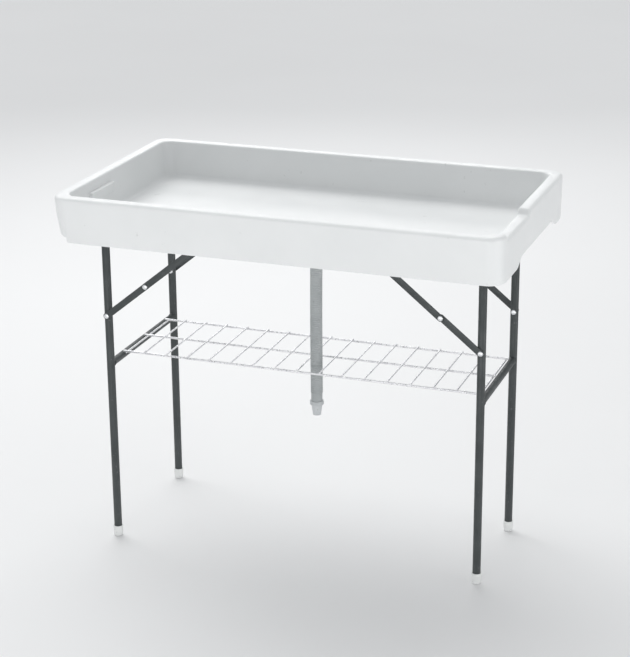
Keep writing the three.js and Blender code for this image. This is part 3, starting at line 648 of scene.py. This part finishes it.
HOLES_IN_RING = 6
HOLE_RING = 0.009
HOLE_RADIUS = 0.0026
plate_low, plate_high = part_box("drain_strainer")
plate = bmesh.new()
bmesh.ops.create_circle(plate, cap_ends=False, radius=0.0156, segments=48)
for number in range(HOLES_IN_RING + 1):
    angle = number * math.pi / 3
    out = HOLE_RING if number < HOLES_IN_RING else 0.0
    hole = bmesh.ops.create_circle(plate, cap_ends=False, radius=HOLE_RADIUS,
                                   segments=16)["verts"]
    bmesh.ops.translate(plate, verts=hole,
                        vec=(out * math.cos(angle), out * math.sin(angle), 0))
bmesh.ops.triangle_fill(plate, use_beauty=True, use_dissolve=False, edges=plate.edges[:],
                        normal=(0, 0, 1))
grown = bmesh.ops.extrude_face_region(plate, geom=plate.faces[:])["geom"]
bmesh.ops.translate(plate, vec=(0, 0, plate_high.z - plate_low.z),
                    verts=[part for part in grown if isinstance(part, bmesh.types.BMVert)])
bmesh.ops.translate(plate, vec=(flange_mid.x, flange_mid.y, plate_low.z), verts=plate.verts)
piece("outlet_strainer", plate, "drain_strainer")

# %% [markdown]
# ## Leg frames
#
# Each frame is two legs of 22 mm tube, a crossbar welded between them, and plastic caps on
# the feet. The legs are turned as real tubes with an open top. Each cap grips the tube with
# a rolled lip, and a bead of weld runs round both ends of the crossbar.

# %% Legs, feet and crossbars
ENDS = ("left", "right")
ROWS = {"front": -1, "back": 1}
TUBE_WALL = 0.0015
BAR_END = 0.0075
BEAD_AT = 0.0109
for end in ENDS:
    for row in ROWS:
        tag = f"{row}_{end}"
        low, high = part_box(f"leg_{tag}")
        radius = (high.x - low.x) / 2
        spot = middle(f"leg_{tag}")
        piece(f"leg_tube_{tag}", turned(
            [(radius - TUBE_WALL, low.z), (radius - 0.0003, low.z), (radius, low.z + 0.0005),
             (radius, high.z - 0.0006), (radius - 0.0004, high.z),
             (radius - TUBE_WALL + 0.0002, high.z), (radius - TUBE_WALL, high.z - 0.0004)],
            (spot.x, spot.y, 0), sides=48, closed=True), f"leg_{tag}")
        low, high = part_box(f"foot_{tag}")
        wide = (high.x - low.x) / 2
        tall = high.z
        piece(f"foot_cap_{tag}", turned(
            [(0.0, 0.0016), (0.0072, 0.0016), (0.0078, 0.0), (0.0112, 0.0), (0.0119, 0.0005),
             (0.0123, 0.0016), (0.0127, 0.008), (0.0130, 0.0086), (wide - 0.0002, tall - 0.004),
             (wide, tall - 0.0028), (wide - 0.0004, tall - 0.0011), (wide - 0.0012, tall),
             (0.0114, tall), (0.0111, tall - 0.0004), (0.0111, 0.004), (0.0, 0.004)],
            (spot.x, spot.y, 0), sides=48), f"foot_{tag}")
    low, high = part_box(f"crossbar_{end}")
    bar_radius = (high.z - low.z) / 2
    spot = middle(f"crossbar_{end}")
    leg_y = abs(middle(f"leg_front_{end}").y)
    reach = leg_y - BAR_END
    bead = leg_y - BEAD_AT
    half_profile = [(bar_radius, 0.0), (bar_radius, bead - 0.0035),
                    (bar_radius + 0.0004, bead - 0.0026), (bar_radius + 0.0014, bead - 0.0008),
                    (bar_radius + 0.0018, bead + 0.0014), (bar_radius - 0.0005, reach),
                    (0.0, reach)]
    mirrored = [(radius, -height) for radius, height in reversed(half_profile[1:])]
    piece(f"crossbar_tube_{end}", turned(mirrored + half_profile, spot, "+Y", 40),
          f"crossbar_{end}")

# %% [markdown]
# ## Brackets and bolts
#
# A leg hangs between the two ears of a pressed steel bracket under the tub, on a bolt with
# six-sided heads. An ear is a circle whose upper half is lifted to the plate. The brace
# brackets are angles with one rounded ear. Small bevels catch the light on the sheet edges.

# %% Sheet metal helpers
EAR_SUNK = 0.0004


def strap(start, stop, near, far, half, flat_top=False):
    """A flat bar with round ends in a plane of constant y, from start to stop as (x, z)."""
    shape = bmesh.new()
    bmesh.ops.create_circle(shape, cap_ends=True, radius=half, segments=40,
                            matrix=Matrix.Rotation(math.pi / 40, 4, "Z"))
    run = Vector((stop[0] - start[0], stop[1] - start[1]))
    for vert in shape.verts:
        if vert.co.x > 0:
            vert.co.x = run.length if flat_top else vert.co.x + run.length
    if flat_top:
        bmesh.ops.remove_doubles(shape, verts=shape.verts, dist=1e-7)
    grown = bmesh.ops.extrude_face_region(shape, geom=shape.faces[:])["geom"]
    bmesh.ops.translate(shape, vec=(0, 0, abs(far - near)),
                        verts=[part for part in grown if isinstance(part, bmesh.types.BMVert)])
    ahead = run.normalized()
    place = Matrix(((ahead.x, -ahead.y, 0, start[0]), (0, 0, 1, min(near, far)),
                    (ahead.y, ahead.x, 0, start[1]), (0, 0, 0, 1)))
    bmesh.ops.transform(shape, matrix=place, verts=shape.verts)
    return shape


def hexagon(radius, low, high, centre, along):
    shape = bmesh.new()
    bmesh.ops.create_cone(shape, cap_ends=True, segments=6, radius1=radius, radius2=radius,
                          depth=high - low)
    bmesh.ops.translate(shape, vec=(0, 0, (low + high) / 2), verts=shape.verts)
    bmesh.ops.bevel(shape, geom=shape.edges[:], offset=0.0005, segments=2, profile=0.5,
                    affect="EDGES", material=-1)
    bmesh.ops.transform(shape, verts=shape.verts,
                        matrix=Matrix.Translation(centre) @ ALONG[along].to_4x4())
    return shape


def screw(name, node):
    """A pan head with a socket under a bracket, its point in the plastic above."""
    low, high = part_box(node)
    spot = middle(node)
    piece(name, turned(
        [(0.0, low.z + 0.0012), (0.0013, low.z + 0.0012), (0.0014, low.z + 0.0001),
         (0.0030, low.z), (0.0042, low.z + 0.0007), (0.0050, low.z + 0.0022),
         (0.0050, low.z + 0.003), (0.0025, low.z + 0.003), (0.0025, high.z - 0.002),
         (0.0006, high.z), (0.0, high.z)], (spot.x, spot.y, 0), sides=24), node)


print("sheet metal helpers: strap, hexagon and screw")

# %% Leg brackets with their bolts and screws
EAR_HALF = 0.012
SHEET = 0.0025
SHANK = 0.004
WASHER = 0.0074
WASHER_FROM = 0.0042
WASHER_TO = 0.0036
HEAD_RADIUS = 0.0069
HEAD_FROM = 0.0039
for end in ENDS:
    for row in ROWS:
        tag = f"{row}_{end}"
        low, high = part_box(f"leg_bracket_{tag}")
        bolt = middle(f"pivot_bolt_{tag}")
        shapes = [block((low.x, low.y, high.z - SHEET), (high.x, high.y, high.z))]
        for near, far in ((low.y, low.y + SHEET), (high.y - SHEET, high.y)):
            shapes.append(strap((bolt.x, bolt.z), (bolt.x, high.z - EAR_SUNK), near, far,
                                EAR_HALF, True))
        piece(f"leg_bracket_sheet_{tag}", joined(*shapes), f"leg_bracket_{tag}", bevel=0.0006)
        b_low, b_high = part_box(f"pivot_bolt_{tag}")
        reach = (b_high.y - b_low.y) / 2
        shank = turned([(0.0, -reach + WASHER_TO), (WASHER, -reach + WASHER_TO),
                        (WASHER, -reach + WASHER_FROM), (SHANK, -reach + WASHER_FROM),
                        (SHANK, reach - WASHER_FROM), (WASHER, reach - WASHER_FROM),
                        (WASHER, reach - WASHER_TO), (0.0, reach - WASHER_TO)],
                       bolt, "+Y", 32)
        heads = [hexagon(HEAD_RADIUS, reach - HEAD_FROM, reach, bolt, "+Y"),
                 hexagon(HEAD_RADIUS, -reach, -reach + HEAD_FROM, bolt, "+Y")]
        piece(f"pivot_bolt_hex_{tag}", joined(shank, *heads), f"pivot_bolt_{tag}")
        screw(f"leg_screw_pan_{tag}", f"leg_screw_{tag}")

# %% [markdown]
# ## Braces
#
# Two flat links make each brace. The lower one is riveted to the leg, the upper one to a
# bracket under the tub, and a middle rivet joins them. The rivets are bright and domed, so
# they read as white dots against the dark steel.

# %% The profile of a rivet
DOME_RADIUS = 0.007
DOME_RISE = 0.0023


def domed(start, stop, shank, head_near):
    """Rivet profile along its axis: a dome at stop, and one at start if head_near is set."""
    dome = [(DOME_RADIUS, 0.0), (DOME_RADIUS, 0.0004), (DOME_RADIUS * 0.93, DOME_RISE * 0.45),
            (DOME_RADIUS * 0.75, DOME_RISE * 0.78), (DOME_RADIUS * 0.45, DOME_RISE * 0.96),
            (0.0, DOME_RISE)]
    if head_near:
        profile = [(r, start + DOME_RISE - h) for r, h in reversed(dome)]
        profile.append((shank, start + DOME_RISE))
    else:
        profile = [(0.0, start), (shank, start)]
    profile.append((shank, stop - DOME_RISE))
    return profile + [(r, stop - DOME_RISE + h) for r, h in dome]


print("rivet heads:", 2 * DOME_RADIUS, "m wide")

# %% Links, rivets and brace brackets
LINK_HALF = 0.009
LINK_THICK = 0.003
RUNNING_GAP = 0.0004
PLATE = 0.003
RIVET_SHANKS = {"leg": 0.0035, "middle": 0.004, "brace": 0.0035}
for end in ENDS:
    for row, out in ROWS.items():
        tag = f"{row}_{end}"
        outward = "+Y" if out > 0 else "-Y"
        leg_rivet = middle(f"leg_rivet_{tag}")
        mid_rivet = middle(f"middle_rivet_{tag}")
        top_rivet = middle(f"brace_rivet_{tag}")
        for kind, start, stop in (("lower", leg_rivet, mid_rivet),
                                  ("upper", top_rivet, mid_rivet)):
            low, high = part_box(f"{kind}_link_{tag}")
            bar = strap((start.x, start.z), (stop.x, stop.z), low.y, high.y, LINK_HALF)
            bmesh.ops.bevel(bar, geom=[edge for edge in bar.edges
                                       if edge.is_manifold and edge.calc_face_angle() > 1.0],
                            offset=0.0006, segments=2, profile=0.5, affect="EDGES", material=-1)
            piece(f"{kind}_link_bar_{tag}", bar, f"{kind}_link_{tag}")
        for kind, shank in RIVET_SHANKS.items():
            low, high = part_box(f"{kind}_rivet_{tag}")
            inner, outer = sorted((abs(low.y), abs(high.y)))
            spot = middle(f"{kind}_rivet_{tag}")
            profile = domed(inner, outer, shank, kind != "middle")
            piece(f"{kind}_rivet_domed_{tag}",
                  turned(profile, (spot.x, 0, spot.z), outward, 32), f"{kind}_rivet_{tag}")
        low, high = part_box(f"brace_bracket_{tag}")
        ear = abs(middle(f"upper_link_{tag}").y) + LINK_THICK / 2 + RUNNING_GAP
        ear_near, ear_far = out * ear, out * (ear + PLATE)
        foot_plate = block((low.x, low.y, high.z - PLATE), (high.x, high.y, high.z))
        tab = strap((top_rivet.x, top_rivet.z), (top_rivet.x, high.z - EAR_SUNK), ear_near,
                    ear_far, LINK_HALF, True)
        piece(f"brace_bracket_angle_{tag}", joined(foot_plate, tab), f"brace_bracket_{tag}",
              bevel=0.0006)
        screw(f"brace_screw_pan_{tag}", f"brace_screw_{tag}")

# %% [markdown]
# ## The wire shelf
#
# The shelf is one welded grid of plated wire. Three long wires lie on the crossbars, fifteen
# short wires cross over them, and one more under each end bears against its crossbar. Each
# wire is turned with rounded ends, and a small flattened bead stands for every weld.

# %% Weld the shelf together
LONG_WIRE = 0.003
CROSS_WIRE = 0.0025
PITCH = 0.064
CROSSINGS = 15
WELD = 0.0012
BEAD = (0.0038, 0.0040, 0.0020)
BEAD_LIFT = 0.0003
BAR_RADIUS = 0.010
STOP_GAP = 0.0003
shelf_low, shelf_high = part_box("wire_shelf")
long_z = shelf_low.z + 2 * CROSS_WIRE - WELD + LONG_WIRE
cross_z = long_z + LONG_WIRE + CROSS_WIRE - WELD
stop_z = long_z - LONG_WIRE - CROSS_WIRE + WELD


def wire(radius, half_length, centre, along):
    tip = radius * 0.5
    return turned([(0.0, -half_length), (radius * 0.7, -half_length + tip * 0.3),
                   (radius, -half_length + tip), (radius, half_length - tip),
                   (radius * 0.7, half_length - tip * 0.3), (0.0, half_length)],
                  centre, along, 12)


def weld(x, y, z):
    bead = bmesh.new()
    bmesh.ops.create_icosphere(bead, subdivisions=1, radius=1.0)
    bmesh.ops.scale(bead, vec=BEAD, verts=bead.verts)
    bmesh.ops.translate(bead, vec=(x, y, z), verts=bead.verts)
    return bead


long_y = [shelf_low.y + LONG_WIRE, 0.0, shelf_high.y - LONG_WIRE]
cross_x = [(number - (CROSSINGS - 1) / 2) * PITCH for number in range(CROSSINGS)]
stop_x = abs(middle("crossbar_right").x) - BAR_RADIUS - CROSS_WIRE - STOP_GAP
wires = [wire(LONG_WIRE, shelf_high.x, (0, y, long_z), "X") for y in long_y]
wires += [wire(CROSS_WIRE, shelf_high.y, (x, 0, cross_z), "+Y") for x in cross_x]
wires += [wire(CROSS_WIRE, shelf_high.y, (x, 0, stop_z), "+Y") for x in (-stop_x, stop_x)]
wires += [weld(x, y, (long_z + cross_z) / 2 + BEAD_LIFT) for x in cross_x for y in long_y]
wires += [weld(x, y, (long_z + stop_z) / 2) for x in (-stop_x, stop_x) for y in long_y]
piece("welded_wire_shelf", joined(*wires), "wire_shelf", outward=False)

# %% [markdown]
# ## Floor and light
#
# A plain pale floor carries soft shadows. A wide, soft skylight from above and behind gives
# the rim and the tub's floor their brightness. A high soft box on the left and a far one
# behind add to it from the same side, and all three leave the far inner wall in shade. Two
# low soft boxes light the skirt and the legs, but stand below the rim, so they don't reach
# into the tub.

# %% Stage the floor and the room
FLOOR_HALF = 12.0
FLOOR_DROP = 0.0005
floor_shape = bmesh.new()
bmesh.ops.create_grid(floor_shape, x_segments=1, y_segments=1, size=FLOOR_HALF)
bmesh.ops.translate(floor_shape, vec=(0, 0, -FLOOR_DROP), verts=floor_shape.verts)
floor_mesh = bpy.data.meshes.new("studio_floor")
floor_shape.to_mesh(floor_mesh)
floor_shape.free()
floor_object = bpy.data.objects.new("studio_floor", floor_mesh)
bpy.context.collection.objects.link(floor_object)
floor_mesh.materials.append(finish("pale_floor", (0.82, 0.82, 0.82), (0.80, 0.80, 0.80), 0.4,
                                   (0.7, 0.8), (60.0, 0.0002)))

world = bpy.data.worlds.new("soft_room")
world.use_nodes = True
room = world.node_tree.nodes["Background"]
room.inputs["Color"].default_value = (0.96, 0.98, 1.0, 1.0)
room.inputs["Strength"].default_value = 0.57
bpy.context.scene.world = world
bpy.context.scene.view_settings.view_transform = "Standard"
print("floor:", 2 * FLOOR_HALF, "m square")


# %% Hang the lights
def aimed(lamp, place, target):
    lamp.location = place
    lamp.rotation_euler = (Vector(target) - Vector(place)).to_track_quat("-Z", "Y").to_euler()
    bpy.context.collection.objects.link(lamp)


def softbox(name, place, target, size, power):
    data = bpy.data.lights.new(name, "AREA")
    data.shape = "RECTANGLE"
    data.size, data.size_y = size
    data.energy = power
    aimed(bpy.data.objects.new(name, data), place, target)
    print("light", name, power, "W")


skylight = bpy.data.lights.new("skylight", "SUN")
skylight.energy = 1.0
skylight.angle = math.radians(50.0)
aimed(bpy.data.objects.new("skylight", skylight), (-1.6, 2.4, 6.0), (0, 0, 0.9))
softbox("high_left", (-2.2, 1.5, 3.2), (-0.2, 0, 0.95), (2.0, 2.0), 30.0)
softbox("far_back", (-1.45, 4.3, 2.55), (0, 0, 1.0), (2.4, 1.0), 24.0)
softbox("low_front", (0.2, -4.2, 0.55), (0, 0, 0.8), (3.4, 0.9), 42.0)
softbox("low_right", (4.2, -0.6, 0.6), (0, 0, 0.85), (1.6, 0.9), 26.0)
